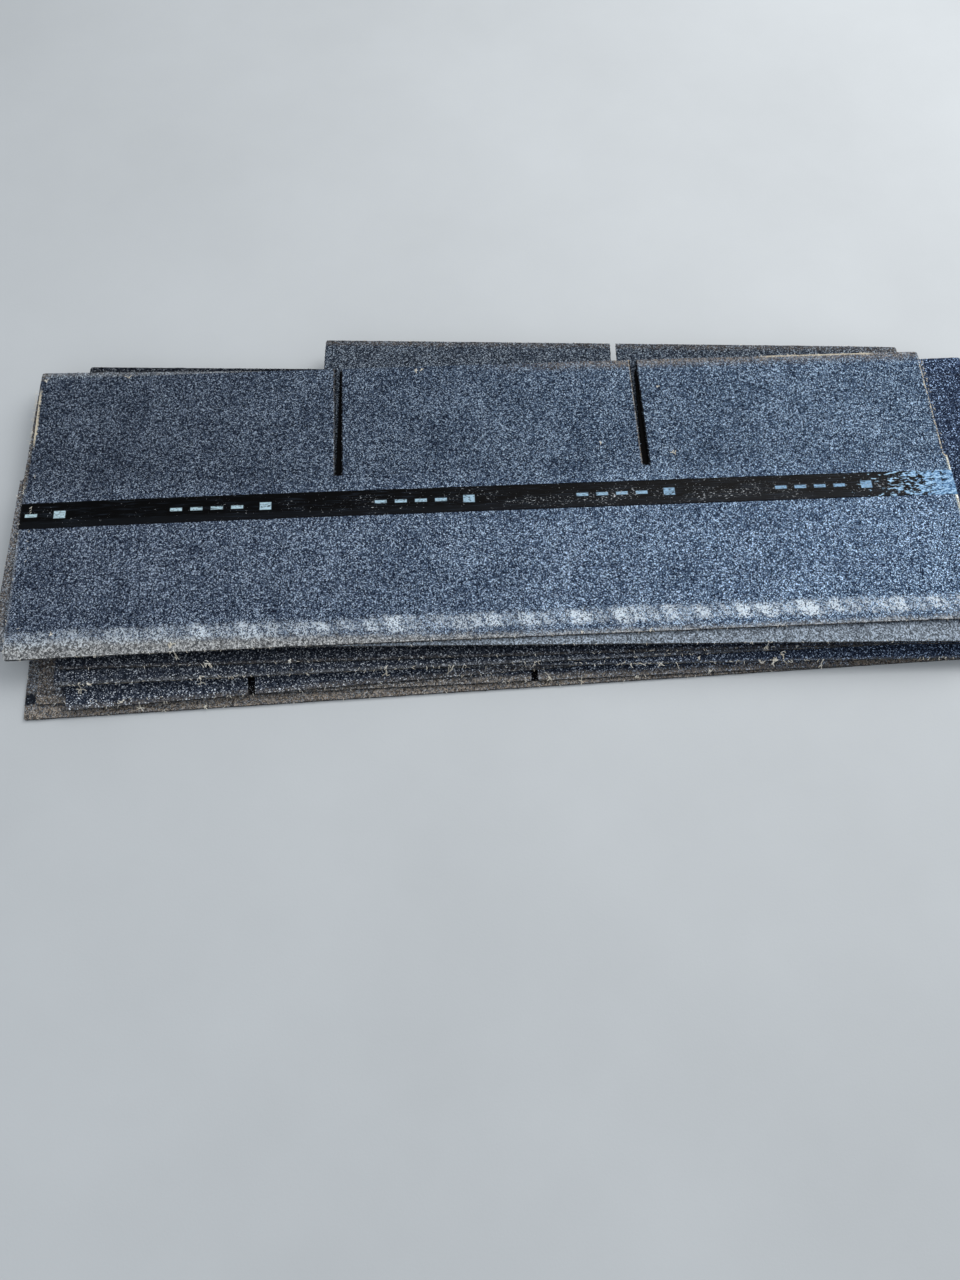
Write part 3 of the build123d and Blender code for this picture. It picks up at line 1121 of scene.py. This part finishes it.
# Fibres of the mat that hang out of the torn edges
fray = {
    "radius": 0.31,
    "tuft": 1.7,  # how much thicker those of a tuft are
    "proud": 0.3,  # how far above the solids they may stand
    "step": 0.8,  # spacing of the points along one
    "inset": 0.6,  # where they start, in from the edge
    "loose": 0.8,  # how far those of a tuft start from its middle
    # number of the sheet, edge, from and to along that edge, how many, their length
    "edges": [
        (6, "front", 130, 183, 6, 4), (6, "front", 5, 620, 44, 3.5), (5, "front", 514, 567, 12, 7),
        (5, "front", 640, 680, 8, 6), (5, "front", 200, 900, 44, 3.5), (7, "front", 129, 143, 5, 6),
        (7, "front", 20, 860, 30, 3), (3, "front", 5, 560, 30, 3), (2, "front", 5, 600, 18, 3),
        (1, "front", 0, 700, 16, 3), (10, "front", 300, 900, 16, 2.5), (11, "front", 5, 900, 30, 2),
        (11, "left", 228, 292, 34, 4), (11, "left", 172, 182, 8, 4), (11, "left", 5, 300, 18, 2.5),
        (11, "back", 743, 866, 16, 4), (11, "right", 180, 300, 26, 2.5), (9, "back", 5, 600, 20, 2.5),
        (4, "right", 10, 290, 18, 3), (10, "left", 10, 290, 16, 3), (1, "left", 10, 290, 14, 3),
    ],
    # tufts and loose bits: place on the stack, how many fibres, their length
    "tufts": [
        (42.3, 22.4, 5, 3), (151.3, 3.3, 3, 8), (155.5, -2.0, 5, 4), (184.5, -8.3, 5, 5),
        (175.9, -22.2, 6, 5), (75.6, -21.8, 2, 8), (66.2, -24.2, 6, 6), (120.1, -42.6, 6, 5),
        (104.5, -38.0, 5, 5), (178.9, -43.7, 5, 4), (346.3, -22.0, 5, 6), (404.7, -22.6, 5, 5),
        (257.5, -9.8, 4, 4), (591.6, 1.2, 3, 4), (528.7, 0.9, 3, 3), (638.9, -21.3, 5, 4),
        (702.2, -15.9, 5, 4), (709.5, -27.7, 7, 5), (497.7, -30.1, 5, 5), (528.3, -35.7, 4, 4),
        (581.1, -33.6, 4, 4), (716.2, -20.9, 3, 6), (649.2, -32.4, 4, 5), (756.8, -31.1, 4, 4),
        (92.2, 303.0, 4, 4), (383.9, 299.0, 5, 4), (390.0, 300.5, 4, 3), (630.8, 271.2, 3, 2),
        (566.1, 205.9, 3, 2), (638.3, 190.2, 4, 4), (8.6, 303.0, 4, 4),
    ],
    "tones": [(0.35, (0.60, 0.55, 0.46)), (0.5, (0.82, 0.79, 0.70)), (0.66, (0.90, 0.89, 0.85))],
}


def edgePoint(name, edge, along):
    inset, width, length = fray["inset"], stack["width"], sheetLength(name)
    x, y, heading = {"front": (along, inset, -90), "back": (along, width - inset, 90),
                     "left": (inset, along, 180), "right": (length - inset, along, 0)}[edge]
    return sheetPlace(name) @ (Vector((x, y, 0)) * mm), math.radians(heading + stack["laid"][name][2])


def groundAt(place):
    hit = skin.ray_cast(Vector((place.x, place.y, above)), down)
    return hit[0].z if hit[0] is not None else 0.0


# one fibre that wanders over whatever lies under it
def layFibre(data, chance, place, heading, length, thick=1.0):
    bend = chance.uniform(-0.35, 0.35)
    steps = max(4, int(length * chance.uniform(0.5, 1.3) / fray["step"]))
    arc = chance.uniform(0.0, 0.9)
    points = []
    for step in range(steps):
        ground = groundAt(place)
        lift = (0.2 + arc * math.sin(math.pi * step / steps)) * mm
        height = ground + lift if ground > place.z - 1.6 * mm else place.z - 0.3 * mm
        place.z = min(max(height, place.z - 0.45 * mm, 0.4 * mm), cadBox[1][2] + fray["proud"] * mm)
        points.append(place.copy())
        heading += bend + chance.uniform(-0.3, 0.3)
        place += Vector((math.cos(heading), math.sin(heading), 0)) * fray["step"] * mm
    spline = data.splines.new("NURBS")
    spline.points.add(len(points) - 1)
    for point, at in zip(spline.points, points):
        point.co = (*at, 1)
        point.radius = chance.uniform(0.6, 1.3) * (1.0 if length > 5 else 0.8) * thick
    spline.order_u = 3
    spline.use_endpoint_u = True
    spline.resolution_u = 2


def makeFibres():
    chance = random.Random(31)
    data = bpy.data.curves.new("matFibres", "CURVE")
    data.dimensions = "3D"
    data.bevel_depth = fray["radius"] * mm
    data.bevel_resolution = 0
    data.use_fill_caps = True
    for sheet, edge, low, high, count, length in fray["edges"]:
        name = f"shingle_{sheet:02d}"
        surface = nodeSurface(name)
        for number in range(count):
            place, heading = edgePoint(name, edge, chance.uniform(low, high))
            place.z = topHeight(surface, place) - chance.uniform(0.2, 1.4) * mm
            layFibre(data, chance, place, heading + chance.uniform(-1.3, 1.3), length)
    loose = fray["loose"]
    for x, y, count, length in fray["tufts"]:
        for number in range(count):
            place = onStack(x + chance.uniform(-loose, loose), y + chance.uniform(-loose, loose))
            place.z = groundAt(place)
            layFibre(data, chance, place, chance.uniform(-3.1, 3.1), length, fray["tuft"])
    material, tree = newTree("creamMat")
    colour = ramp(speckle(objectPlace(tree), 130.0, 3, 0.7), fray["tones"])
    finishTree(tree, colour, 0.9)
    fibres = inScene("matFibres", realMesh(inScene("fibreCurves", data), "matFibres", material))
    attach(fibres, "root")
    print("fibres", len(fibres.data.polygons), "faces")


makeFibres()
